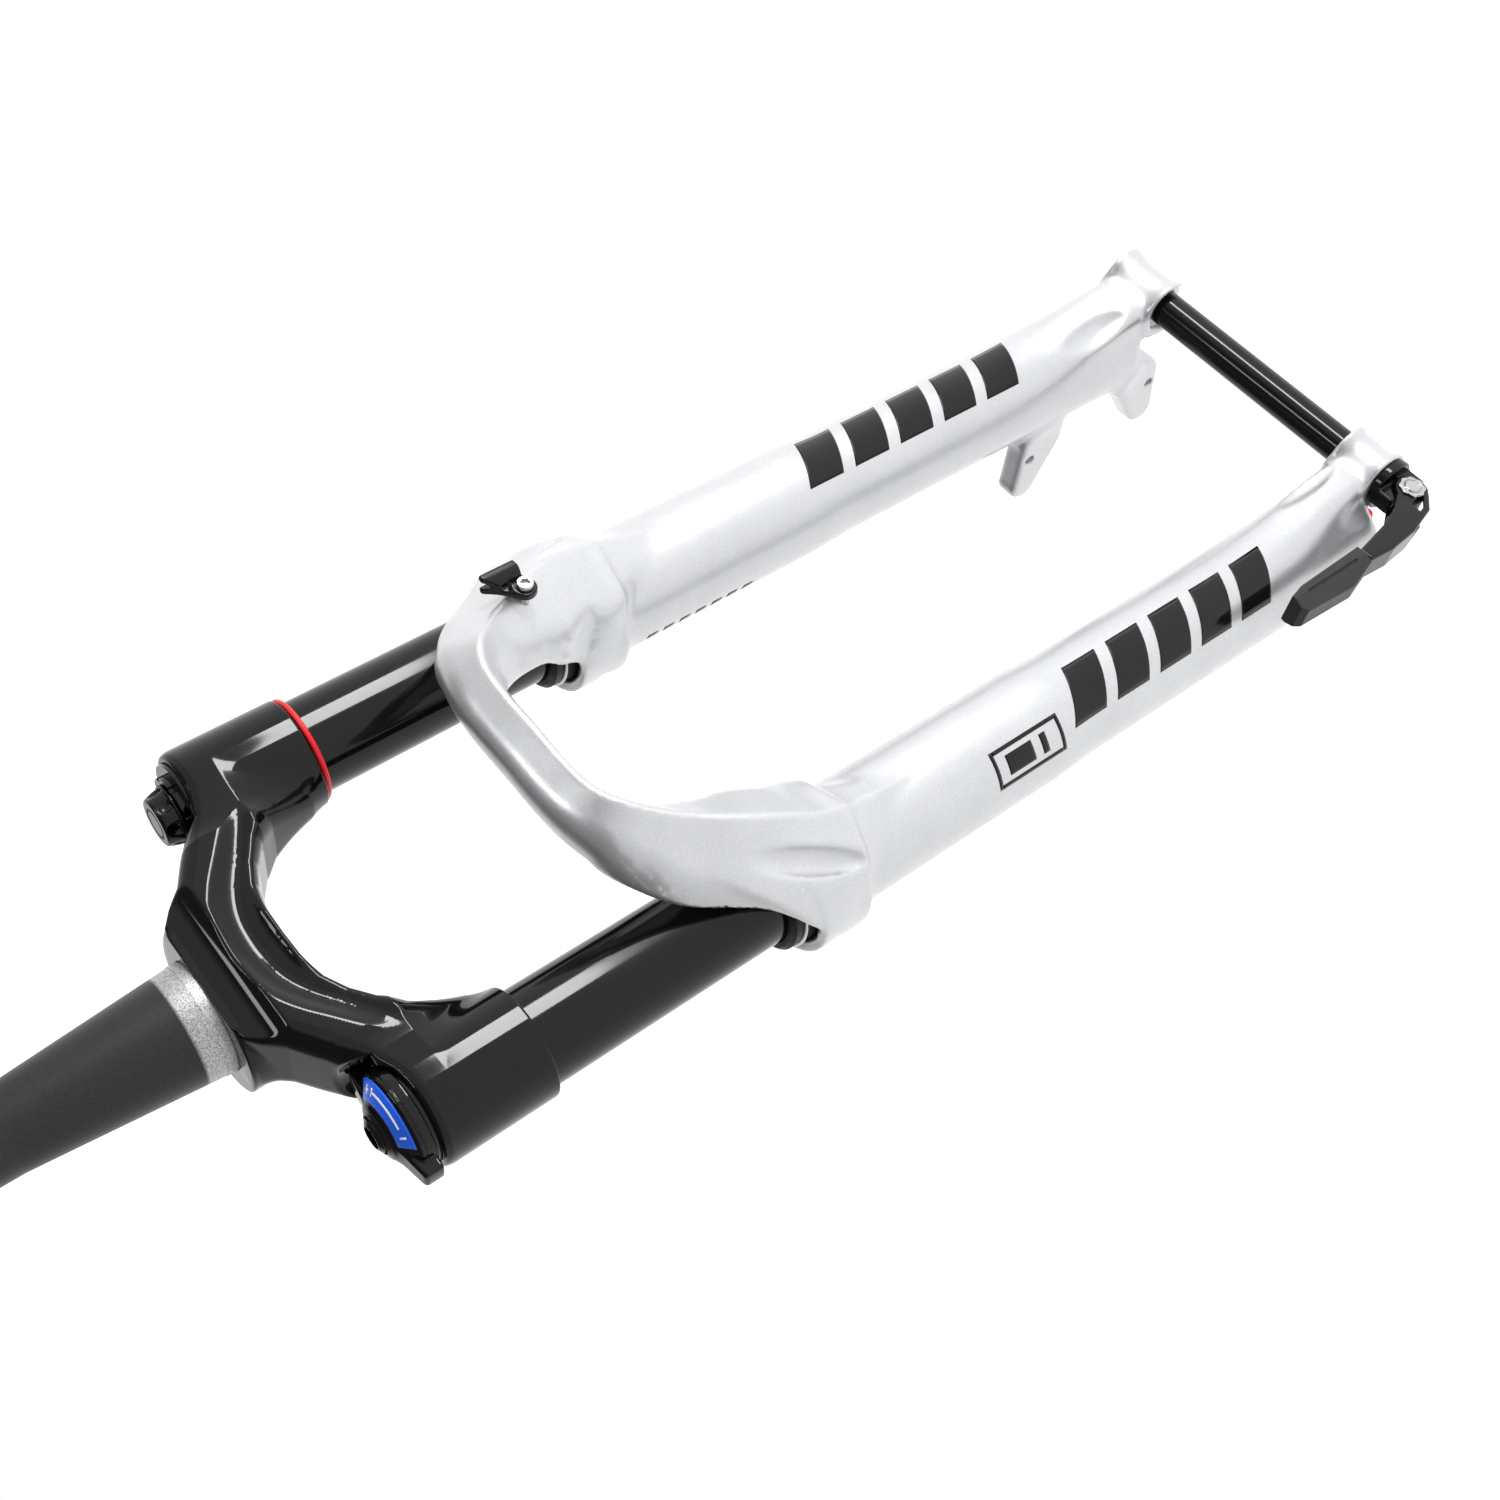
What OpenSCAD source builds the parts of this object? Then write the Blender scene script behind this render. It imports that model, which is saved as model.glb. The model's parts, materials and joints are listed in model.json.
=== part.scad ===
// Bicycle suspension fork: tapered steerer, forged crown, two telescopic legs,
// air spring in the left leg, damper in the right leg, 15 mm quick-release axle.
// +Z runs up the steerer, -Y is the front of the bicycle, +X is the rider's left.
// The origin is on the steerer axis, on the crown's race shoulder.

/* [View] */
// Sub-part to draw, or all of them

/* [Steerer] */
// Length of the steerer above the crown race shoulder (mm)
steerer_length = 265; // [180:5:300]
// Outer radius of the steerer at the stem (mm)
steerer_r = 14.3; // [14.3]
// Outer radius of the crown race seat (mm)
race_r = 19.9; // [19.9]
// Height of the crown race seat (mm)
race_h = 3.4; // [3:0.2:6]

/* [Legs] */
// Distance between the stanchion centres (mm)
leg_spacing = 138; // [136:1:140]
// Distance of the stanchions in front of the steerer axis (mm)
crown_offset = 8; // [6:1:10]
// Outer radius of a stanchion (mm)
stanchion_r = 17.5; // [17.5]
// Wall thickness of a stanchion (mm)
stanchion_wall = 1.9; // [1.6:0.1:2.2]
// Outer radius of a lower leg (mm)
leg_r = 21.4; // [21.2:0.1:22]

/* [Axle] */
// Radius of the through axle (mm)
axle_r = 7.5; // [7.5]
// Distance of the axle in front of the stanchions (mm)
axle_offset = 26.3; // [24:0.1:28]
// Distance of the axle below the race shoulder (mm)
axle_drop = 497; // [494:1:500]
// Distance between the two hub faces of the dropouts (mm)
hub_width = 110; // [110]

/* [Hidden] */
$fn = 64;
fine = 96;
run = 0.05;          // running clearance on a radius
rub = 0.3;           // free clearance on a radius
press = 0.02;        // press interference on a radius
eps = 0.01;
xl = leg_spacing / 2;
yl = -crown_offset;
ya = yl - axle_offset;
za = -axle_drop;
bore_r = stanchion_r - stanchion_wall;

collar_z = -74.5;    // lower rim of the crown collars
collar_top = -31;
collar_r = 20.2;
tube_top = -33;
tube_end = -330;

wiper_top = -169;
cast_top = -178.5;
boss_r = 27.5;
boss_foot = -207;    // where the wiper boss meets the plain leg
leg_end = -489.5;
cavity_end = -470;
cavity_r = 18.8;
hub_face = hub_width / 2;
lip_x = 51;

arch_r = 86;         // outer arch radius in front view
arch_z = -195.5;
arch_front = -64;
clip_seat = -55.5;   // flat on the arch's shoulder that the hose guide sits on
clip_z = -159.3;     // lower end of the hose guide
clip_h = 14;
clip_x = 61.2;
clip_screw = [53.2, -158.4];
arch_back = -33;
arch_low = -236;
wheel_round_z = -160.5; // height of the round corners of the wheel opening

post_tilt = 8.5;     // downward tilt of the disc brake posts to the rear
post_x = 54;
post_z = -500.4;     // height of the lower post axis at y = 0
post_gap = 74;
post_end = 34.4;     // rear face of the posts along their axes
post_r = 2.5;        // tapping radius of an M6 thread

knob_z = -30.6;
knob_r = 18.4;
knob_reach = 22.4;   // tip radius of the dial's two wings
pivot_x = -84;
cheek = 6.2;         // half width of the lever across its clevis
tongue = 4;          // half width of the axle head between the lever's cheeks

black = [0.03, 0.03, 0.035];
silver = [0.78, 0.79, 0.8];
steel = [0.6, 0.61, 0.63];
rubber = [0.05, 0.05, 0.05];
brass_col = [0.75, 0.6, 0.3];
red = [0.8, 0.05, 0.07];
blue = [0.05, 0.15, 0.7];

// ---- helpers ----
module left() translate([xl, yl, 0]) children();
module right() translate([-xl, yl, 0]) children();
module both() {
  left() children();
  right() children();
}

// solid cylinder between two heights
module rod(r, z0, z1, f = $fn) translate([0, 0, z0]) cylinder(r = r, h = z1 - z0, $fn = f);

// cone between two heights
module cone(r0, r1, z0, z1) translate([0, 0, z0]) cylinder(r1 = r0, r2 = r1, h = z1 - z0);

// hollow cylinder between two heights
module tube(ro, ri, z0, z1) difference() {
  rod(ro, z0, z1);
  rod(ri, z0 - 1, z1 + 1);
}

// cylinder along X between two positions, on the axle axis
module axle_rod(r, x0, x1, f = $fn) translate([x0, ya, za]) rotate([0, 90, 0])
  cylinder(r = r, h = x1 - x0, $fn = f);

// toroidal ring of round section
module o_ring(rc, rs, z) translate([0, 0, z]) rotate_extrude() translate([rc, 0]) circle(rs, $fn = 32);

// slab whose outline is drawn in X and Z, extruded from y0 to y1
module front_slab(y0, y1) translate([0, y1, 0]) rotate([90, 0, 0]) linear_extrude(y1 - y0) children();

// slab whose outline is drawn in Y and Z, extruded from x0 to x1
module side_slab(x0, x1) translate([x0, 0, 0]) rotate([90, 0, 90]) linear_extrude(x1 - x0) children();

// ---- upper assembly ----
module steerer_tube() color(black) difference() {
  union() {
    rod(race_r - 0.4 + press, -28, 0, fine);
    rod(race_r, 0, race_h, fine);
    cone(race_r - 0.2, steerer_r, race_h, 68);
    rod(steerer_r, 68, steerer_length, fine);
  }
  rod(12.2, 60, steerer_length + 1);
  cone(16.5, 12.2, 0, 60 + eps);
  rod(16.5, -29, eps);
}

// outline of one crown arm in X and Z
module arm_outline() polygon([[-1, 0], [25, -1], [30, -6], [35, -11.5], [42, -16.5], [50, -22.5], [58, -28],
  [66, -31.2], [69, -31.2], [69, -60], [55, -72], [50, -70], [46, -62], [43, -55.5], [40.5, -49.5], [35, -42.5],
  [28, -37], [20, -33], [10, -30.8], [-1, -30.2]]);

module fork_crown() color(black) difference() {
  union() {
    both() rod(collar_r, collar_z, collar_top - 2, fine);
    both() cone(collar_r, collar_r - 2, collar_top - 2, collar_top);
    rod(28.5, -28.3, 0, fine);
    front_slab(-24, 10) arm_outline();
    front_slab(-24, 10) mirror([1, 0]) arm_outline();
  }
  rod(race_r - 0.4, -40, 1, fine);
  both() rod(stanchion_r - press, collar_z - 1, tube_top, fine);
  both() rod(17.2, tube_top - 1, 0);
  // room for the dial and its wings, and the same on the air side
  both() rod(knob_r + 0.6, collar_top, 0);
  both() rod(knob_reach + 0.6, knob_z + 1.8, 0);
  // scooped front of the centre section
  translate([-34, -37, -10]) rotate([0, 90, 0]) cylinder(r = 16, h = 68, $fn = fine);
}

module stanchion_left() color(black) left() tube(stanchion_r, bore_r, tube_end, tube_top);
module stanchion_right() color(black) right() tube(stanchion_r, bore_r, tube_end, tube_top);

// ---- air spring, fixed parts ----
module air_top_cap() color(black) left() difference() {
  union() {
    rod(bore_r, -52, -31);
    rod(17.1, -32.8, -30.6);
    rod(13.5, -30.6, -28.1);
  }
  rod(3.9, -53, -27);
  for (a = [0 : 45 : 315]) rotate(a) translate([13.6, 0, -30.5]) rod(1.6, 0, 3, 24);
}

module air_valve() color(brass_col) left() {
  rod(3.88, -48, -28.1);
  rod(2.6, -28.1, -24);
}

module volume_spacer() color(red) left() {
  rod(11, -84, -54);
  rod(6, -54, -52);
}

module air_seal_head() color(steel) left() difference() {
  rod(bore_r, -326, -308);
  rod(5 + run, -327, -307);
}

module air_retaining_ring() color(steel) left() difference() {
  tube(bore_r, 11, -327.6, -326);
  translate([0, -3, -328]) cube([20, 6, 3]);
}

// ---- damper, fixed parts ----
module damper_top_cap() color(black) right() difference() {
  union() {
    rod(bore_r, -48, -32.8);
    rod(17.1, -32.8, -30.9);
  }
  rod(3, -49, -30);
}

module compression_valve() color(steel) right() {
  rod(3 - run, -56, -31);
  rod(11.5, -72, -56);
  rod(6, -80, -72);
}

module damper_bladder() color(rubber) right() difference() {
  rod(14.5, -128, -50);
  rod(13.3, -126.8, -49);
  rod(6, -129, -120);
}

module damper_tube() color(steel) right() tube(14, 12.6, -312, -128.3);

module damper_seal_head() color(steel) right() difference() {
  union() {
    rod(bore_r, -326, -312);
    rod(12.6, -312, -304);
  }
  rod(5 + run, -327, -303);
}

module damper_retaining_ring() color(steel) right() difference() {
  tube(bore_r, 11, -327.6, -326);
  translate([0, -3, -328]) cube([20, 6, 3]);
}

// ---- compression dial ----
module compression_knob() color(black) right() difference() {
  union() {
    rod(knob_r, knob_z, knob_z + 6.2);
    cone(knob_r, knob_r - 1, knob_z + 6.2, knob_z + 7);
    intersection() {
      rod(knob_reach, knob_z + 2.4, knob_z + 9.2);
      translate([-23, -5.5, knob_z]) cube([46, 11, 10]);
    }
    rod(8, knob_z + 7, knob_z + 10);
  }
  rod(4, knob_z + 8, knob_z + 11);
  rod(2, knob_z - 1, knob_z + 11);
  // seat of the label
  label_ring(knob_r - 1.2, 10, knob_z + 6, 3);
}

// crescent ahead of the dial's bar, between two radii
module label_ring(ro, ri, z, h) difference() {
  rod(ro, z, z + h);
  rod(ri, z - 1, z + h + 1);
  translate([-20, -6, z - 1]) cube([40, 30, h + 2]);
}

module compression_label() color(blue) right() label_ring(knob_r - 1.3, 10.1, knob_z + 6.02, 0.9);

module compression_knob_screw() color(steel) right() difference() {
  union() {
    rod(3.8, knob_z + 8.05, knob_z + 9.7);
    rod(1.9, knob_z + 1, knob_z + 8.05);
  }
  translate([0, 0, knob_z + 8.4]) cylinder(r = 1.4, h = 3, $fn = 6);
}

// ---- valve cap ----
module valve_cap() color(rubber) left() difference() {
  union() {
    rod(10.4, -27.8, -22.6);
    cone(10.4, 8.6, -22.6, -20.9);
    for (a = [0 : 60 : 300]) rotate(a) translate([9.2, 0, 0]) rod(2.3, -27.8, -22.2, 32);
  }
  rod(4.3, -28.5, -23.6);
}

module sag_ring() color(red) left() o_ring(stanchion_r + 1.1 + rub / 3, 1.1, collar_z - 1.35);

// axis of the hose guide screw, pointing back from a distance behind the guide's seat
module clip_screw_axis(y) translate([clip_screw[0], clip_seat + y, clip_screw[1]])
  rotate([-90, 0, 0]) children();

// ---- lower legs ----
// outline of the wheel opening under the arch in X and Z
module wheel_outline() {
  translate([-47, -250]) square([94, 250 + wheel_round_z]);
  translate([-17, wheel_round_z - 0.4]) square([34, 30.4]);
  for (s = [-1, 1]) translate([s * 17, wheel_round_z]) circle(30, $fn = fine);
}

// outline of the arch in Y and Z
module arch_side() polygon([[arch_front, -126], [-62, -116], [-53, -109.5], [-40, -109.5],
  [arch_back, -116], [arch_back, -176], [yl, cast_top], [yl, arch_low],
  [yl - leg_r + 1, arch_low], [-36, -212], [-42, -196], [-50, -179], [clip_seat, -166],
  [clip_seat, -144], [-61, -133]]);

module arch() intersection() {
  front_slab(arch_front - 1, yl + 1) difference() {
    intersection() {
      union() {
        translate([0, arch_z]) circle(arch_r, $fn = 128);
        translate([-87, arch_low]) square([174, arch_z - arch_low]);
      }
      translate([-86, arch_low]) square([172, 140]);
    }
    wheel_outline();
  }
  side_slab(-95, 95) arch_side();
}

// outline of the dropout web in Y and Z
module drop_outline() polygon([[yl - leg_r, -410], [ya - 13.3, za + 4], [ya, za], [ya + 4, za - 12.8],
  [ya + 14, za - 11], [yl + 2, leg_end - 6], [yl + 14, leg_end], [yl + leg_r - 1, -470],
  [yl + leg_r - 1, -410]]);

// one leg, drawn on the left; out_x is the outer end of the axle boss
module leg(out_x) {
  translate([xl, yl, 0]) {
    rod(leg_r, -470, -205, fine);
    cone(15, leg_r, leg_end, -470);
    cone(leg_r, boss_r, boss_foot, boss_foot + 11);
    rod(boss_r, boss_foot + 11, cast_top - 2);
    cone(boss_r, boss_r - 2, cast_top - 2, cast_top);
  }
  axle_rod(13.5, lip_x, out_x);
  side_slab(lip_x + 2.5, xl + 2.5) drop_outline();
}

// solid to remove from one leg, drawn on the left
module leg_hollow() {
  translate([xl, yl, 0]) {
    rod(cavity_r, cavity_end, -170);
    rod(21.6, -190, -170);
    rod(4.2, leg_end - 1, cavity_end + 1);
    rod(9.6, leg_end - 20, leg_end + 5);
  }
  // open pocket for the hub's end cap
  axle_rod(10.3, 40, hub_face);
  translate([40, ya - 10.3, za - 20]) cube([hub_face - 40, 20.6, 20]);
  axle_rod(axle_r + run, 40, 95);
}

// the two disc brake posts, in the tilted frame of their axes
module post_frame() translate([post_x, 0, post_z]) rotate([-post_tilt, 0, 0]) children();

module posts() post_frame() for (z = [0, post_gap]) translate([0, yl, z]) rotate([-90, 0, 0])
  cylinder(r = 8, h = post_end - yl);

module post_holes() post_frame() for (z = [0, post_gap]) translate([0, post_end - 20, z])
  rotate([-90, 0, 0]) cylinder(r = post_r, h = 21, $fn = 32);

module lower_casting() color(silver) difference() {
  union() {
    leg(80);
    mirror([1, 0, 0]) leg(72);
    arch();
    posts();
    side_slab(lip_x, post_x + 5) polygon([[yl, -408], [14, -414], [24, -420], [22, -440], [16, -452],
      [14, -478], [24, -494], [20, -511], [ya + 8, za - 14], [ya, za]]);
  }
  leg_hollow();
  mirror([1, 0, 0]) leg_hollow();
  post_holes();
  // threaded seat of the hose guide screw
  clip_screw_axis(-1) cylinder(r = 1.7, h = 12, $fn = 32);
}

module wiper() difference() {
  union() {
    rod(21.5, -189.5, cast_top);
    rod(21.2, cast_top, wiper_top - 1.5);
    cone(21.2, 19.5, wiper_top - 1.5, wiper_top);
  }
  rod(stanchion_r + rub, -190, wiper_top + 1);
  difference() {
    rod(22, -175.4, -173.4);
    rod(20.4, -176, -173);
  }
}

module wiper_left() color(rubber) left() wiper();
module wiper_right() color(rubber) right() wiper();
module garter_springs() color(steel) both() o_ring(21.3, 0.85, -174.4);
module foam_rings() color(rubber) both() tube(cavity_r - 0.1, stanchion_r + rub, -200, -190.3);
module bushings() color(steel) both() {
  tube(cavity_r - 0.02, stanchion_r + run, -222, -202);
  tube(cavity_r - 0.02, stanchion_r + run, -318, -298);
}

// ---- air spring, parts carried by the lower legs ----
module air_shaft() color(steel) left() difference() {
  rod(5, cavity_end, -286);
  rod(3.05, cavity_end - 1, -440);
}

module air_piston() color(steel) left() difference() {
  rod(bore_r - run, -286, -268);
  difference() {
    rod(bore_r + 1, -279, -275);
    rod(12, -280, -274);
  }
}

module air_piston_seal() color(rubber) left() tube(bore_r - run, 12, -279, -275);
module topout_bumper() color(rubber) left() tube(10, 5 + eps, -298, -286.1);
module bottomout_bumper() color(rubber) left() tube(11, 5 + eps, cavity_end + 0.1, cavity_end + 12);

// ---- damper, parts carried by the lower legs ----
module damper_shaft() color(steel) right() difference() {
  rod(5, cavity_end, -282);
  rod(2.6, cavity_end - 1, -283);
  rod(4, cavity_end - 1, -440);
}

module damper_piston() color(steel) right() difference() {
  rod(12.6 - run, -282, -270);
  difference() {
    rod(14, -278, -274);
    rod(11, -279, -273);
  }
}

module damper_piston_ring() color(rubber) right() tube(12.6 - run, 11, -278, -274);

module foot_bolts() color(black) {
  left() difference() {
    union() {
      rod(6, leg_end - 2, leg_end + 3);
      rod(3, leg_end + 3, -450);
    }
    translate([0, 0, leg_end - 3]) cylinder(r = 2.9, h = 4, $fn = 6);
  }
  right() difference() {
    union() {
      rod(6, leg_end - 2, leg_end + 3);
      rod(3.95, leg_end + 3, -450);
    }
    rod(2.4, leg_end - 3, -449);
  }
}

module crush_washers() color(brass_col) both() tube(6.8, 4.3, leg_end + 3.05, leg_end + 4.95);

module rebound_knob() color(red) right() difference() {
  union() {
    rod(8, leg_end - 14, leg_end - 5);
    rod(6.4, leg_end - 5, leg_end - 2.5);
    for (a = [0 : 60 : 300]) rotate(a) translate([7.4, 0, 0]) rod(1.5, leg_end - 14, leg_end - 6, 24);
  }
  rod(1.5, leg_end - 12, leg_end - 1);
}

module rebound_rod() color(steel) right() rod(1.5 + press, leg_end - 11.9, -300);

// ---- hose guide on the arch ----
module hose_guide() color(rubber) difference() {
  union() {
    translate([49, clip_seat - 3, clip_z]) cube([17, 3, clip_h]);
    clip_screw_axis(-3) cylinder(r = 4.4, h = 3);
    translate([clip_x, clip_seat - 3.2, clip_z]) rod(4.6, 0, clip_h);
  }
  translate([clip_x, clip_seat - 3.2, clip_z]) rod(2.6, -1, clip_h + 1);
  translate([clip_x + 1, clip_seat - 12, clip_z - 1]) cube([8, 8.8, clip_h + 2]);
  clip_screw_axis(-4) cylinder(r = 1.75, h = 6, $fn = 32);
  translate([clip_x - 10, clip_seat, clip_z - 1]) cube([20, 10, clip_h + 2]);
}

module hose_guide_screw() color(steel) clip_screw_axis(-5.2) difference() {
  union() {
    cylinder(r = 3.1, h = 2.2);
    cylinder(r = 1.65, h = 14, $fn = 32);
  }
  translate([0, 0, -1]) cylinder(r = 1.4, h = 2.4, $fn = 6);
}

// ---- axle and lever ----
module axle_shaft() color(black) difference() {
  axle_rod(axle_r, -71, 79, fine);
  axle_rod(5.4, -60, 80);
}

module axle_head() color(black) difference() {
  union() {
    axle_rod(11.4, -75.8, -72.2, fine);
    intersection() {
      union() {
        axle_rod(11.4, pivot_x, -75.8, fine);
        translate([pivot_x, ya - 12, za]) rotate([-90, 0, 0]) cylinder(r = 6.6, h = 24);
      }
      translate([pivot_x - 10, ya - tongue, za - 12]) cube([20, 2 * tongue, 24]);
    }
    axle_rod(5.5, -76, -71, fine);
  }
  translate([pivot_x, ya - 12, za]) rotate([-90, 0, 0]) cylinder(r = 3, h = 24);
}

module lever_pin() color(steel) translate([pivot_x, ya + cheek + 0.6, za]) rotate([90, 0, 0])
  cylinder(r = 3, h = 2 * cheek + 0.6);

module lever_pin_nut() color(steel) translate([pivot_x, ya - cheek, za]) rotate([90, 0, 0]) {
  cylinder(r = 4.9, h = 1.3);
  for (a = [0 : 45 : 315]) rotate(a) translate([4.8, 0, 0]) cylinder(r = 0.9, h = 1.3, $fn = 24);
}

// outline of the lever in X and Z
module lever_outline() {
  translate([pivot_x, za]) circle(7.8, $fn = fine);
  polygon([[pivot_x - 7, za - 3.4], [pivot_x + 7.4, za + 2.2], [-81.8, za + 7], [-86.3, za + 14.2],
    [-90.4, za + 25.5], [-94.2, za + 46], [-100.5, za + 46], [-101.4, za + 32.5], [-100, za + 17.3],
    [-96, za + 2.5]]);
}

module lever_arm() color(black) difference() {
  union() {
    front_slab(ya - cheek, ya + cheek) lever_outline();
    translate([-99.3, ya - 3.5, za + 45.9]) cube([4, 7, 34]);
  }
  // clevis slot around the axle head
  translate([pivot_x - 20, ya - tongue - 0.3, za - 14]) cube([40, 2 * tongue + 0.6, 29]);
  translate([pivot_x, ya - 12, za]) rotate([-90, 0, 0]) cylinder(r = 3 + run, h = 24);
}

module lever_grip() color(rubber) difference() {
  front_slab(ya - 7.2, ya + 7.2) polygon([[-92.7, za + 46.1], [-93.9, za + 82], [-95.4, za + 89.4],
    [-101.5, za + 90.3], [-103.8, za + 88], [-105.1, za + 60], [-101, za + 46.1]]);
  translate([-99.3 - eps, ya - 3.5 - eps, za + 45]) cube([4 + 2 * eps, 7 + 2 * eps, 35]);
}

// ---- assembly ----
steerer_tube();
fork_crown();
stanchion_left();
stanchion_right();
air_top_cap();
air_valve();
volume_spacer();
air_seal_head();
air_retaining_ring();
damper_top_cap();
compression_valve();
damper_bladder();
damper_tube();
damper_seal_head();
damper_retaining_ring();
compression_knob();
compression_label();
compression_knob_screw();
valve_cap();
sag_ring();
lower_casting();
wiper_left();
wiper_right();
garter_springs();
foam_rings();
bushings();
air_shaft();
air_piston();
air_piston_seal();
topout_bumper();
bottomout_bumper();
damper_shaft();
damper_piston();
damper_piston_ring();
foot_bolts();
crush_washers();
hose_guide();
hose_guide_screw();
rebound_knob();
rebound_rod();
axle_shaft();
axle_head();
lever_pin();
lever_pin_nut();
lever_arm();
lever_grip();
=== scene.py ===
import json
import math
from concurrent.futures import ThreadPoolExecutor

import bpy
import numpy as np
import openvdb as vdb
from mathutils import Matrix, Vector


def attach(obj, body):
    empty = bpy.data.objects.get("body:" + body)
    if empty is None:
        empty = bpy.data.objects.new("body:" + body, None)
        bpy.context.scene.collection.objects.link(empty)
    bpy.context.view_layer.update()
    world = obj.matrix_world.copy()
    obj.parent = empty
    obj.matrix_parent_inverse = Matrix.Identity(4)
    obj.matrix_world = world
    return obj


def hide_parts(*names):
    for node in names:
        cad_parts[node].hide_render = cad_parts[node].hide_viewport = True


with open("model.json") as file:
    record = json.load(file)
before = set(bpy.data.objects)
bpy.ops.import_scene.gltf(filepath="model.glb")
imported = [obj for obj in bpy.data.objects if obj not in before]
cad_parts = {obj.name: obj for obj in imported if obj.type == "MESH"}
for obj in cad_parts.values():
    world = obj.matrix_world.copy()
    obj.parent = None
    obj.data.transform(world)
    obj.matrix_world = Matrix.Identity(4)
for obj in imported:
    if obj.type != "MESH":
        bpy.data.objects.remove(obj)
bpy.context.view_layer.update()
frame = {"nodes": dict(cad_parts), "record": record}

# ---------------------------------------------------------------- sizes, mm
XL, YL = 69.0, -8.0            # leg axes
YA, ZA = -34.3, -497.0         # axle axis
LEG_END = -489.5               # foot of the legs
SEAT = -178.5                  # top face of the lower legs, where the wipers sit
KNOB_Z = -30.6                 # foot of the compression dial
PIVOT_X = -84.0                # lever pin
F = np.float32
COARSE = 1.0                   # grid steps above this get softened normals


# ---------------------------------------------------------------- distance fields
# Every field takes points P (n, 3) in mm and gives a signed distance, negative inside.

def smin(a, b, k):
    """Smooth union with a fillet of about k."""
    h = np.clip(0.5 + 0.5 * (b - a) / k, 0, 1)
    return b + (a - b) * h - k * h * (1 - h)


def smax(a, b, k):
    """Smooth intersection with an edge rounded by about k."""
    return -smin(-a, -b, k)


def cyl_z(P, x, y, r, z0, z1, edge=1.0):
    """Upright cylinder with rounded rims; r may be an array."""
    d = np.hypot(P[:, 0] - x, P[:, 1] - y) - r
    return smax(smax(d, z0 - P[:, 2], edge), P[:, 2] - z1, edge)


def cyl_x(P, y, z, r, x0, x1, edge=1.0):
    d = np.hypot(P[:, 1] - y, P[:, 2] - z) - r
    return smax(smax(d, x0 - P[:, 0], edge), P[:, 0] - x1, edge)


def cyl_y(P, x, z, r, y0, y1, edge=1.0):
    d = np.hypot(P[:, 0] - x, P[:, 2] - z) - r
    return smax(smax(d, y0 - P[:, 1], edge), P[:, 1] - y1, edge)


def cone_seg(P, a, b, ra, rb):
    """Ball-ended cone from a (radius ra) to b (radius rb)."""
    a, b = np.array(a, F), np.array(b, F)
    u = b - a
    t = np.clip(((P - a) @ u) / (u @ u), 0, 1)
    return np.linalg.norm((P - a) - t[:, None] * u, axis=1) - (ra + (rb - ra) * t)


def box(P, c, half, r=1.0, rot=None):
    """Rounded box with half sizes half, turned by the 3x3 matrix rot."""
    q = P - np.array(c, F)
    if rot is not None:
        q = q @ np.array(rot, F)
    q = np.abs(q) - (np.array(half, F) - r)
    return np.linalg.norm(np.maximum(q, 0), axis=1) + np.minimum(q.max(1), 0) - r


def ellipsoid(P, c, s, rot=None):
    q = P - np.array(c, F)
    if rot is not None:
        q = q @ np.array(rot, F)
    q = q / np.array(s, F)
    k = np.linalg.norm(q, axis=1)
    g = np.linalg.norm(q / np.array(s, F), axis=1) + 1e-9
    return k * (k - 1) / g


def turn_x(deg):
    c, s = math.cos(math.radians(deg)), math.sin(math.radians(deg))
    return [[1, 0, 0], [0, c, -s], [0, s, c]]


def ease(t):
    t = np.clip(t, 0, 1)
    return t * t * (3 - 2 * t)


def outline(u, v, points):
    """Signed distance to a closed outline in a plane."""
    q = np.stack([u, v], 1).astype(F)
    pts = np.array(points, F)
    d = np.full(len(q), 1e9, F)
    sign = np.ones(len(q), F)
    for a, b in zip(pts, np.roll(pts, 1, 0)):
        e, w = b - a, q - a
        r = w - np.clip((w @ e) / (e @ e), 0, 1)[:, None] * e
        d = np.minimum(d, (r * r).sum(1))
        above, below = q[:, 1] >= a[1], q[:, 1] < b[1]
        side = e[0] * w[:, 1] > e[1] * w[:, 0]
        sign = np.where((above & below & side) | (~above & ~below & ~side), -sign, sign)
    return sign * np.sqrt(d)


def spline(keys, n):
    """Smooth curve through rows of numbers, resampled to n rows."""
    K = np.array(keys, float)
    m = np.gradient(K, axis=0)
    s = np.linspace(0, len(K) - 1, n)
    i = np.minimum(s.astype(int), len(K) - 2)
    f = (s - i)[:, None]
    h00, h10 = 2 * f**3 - 3 * f**2 + 1, f**3 - 2 * f**2 + f
    h01, h11 = -2 * f**3 + 3 * f**2, f**3 - f**2
    return h00 * K[i] + h10 * m[i] + h01 * K[i + 1] + h11 * m[i + 1]


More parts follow.
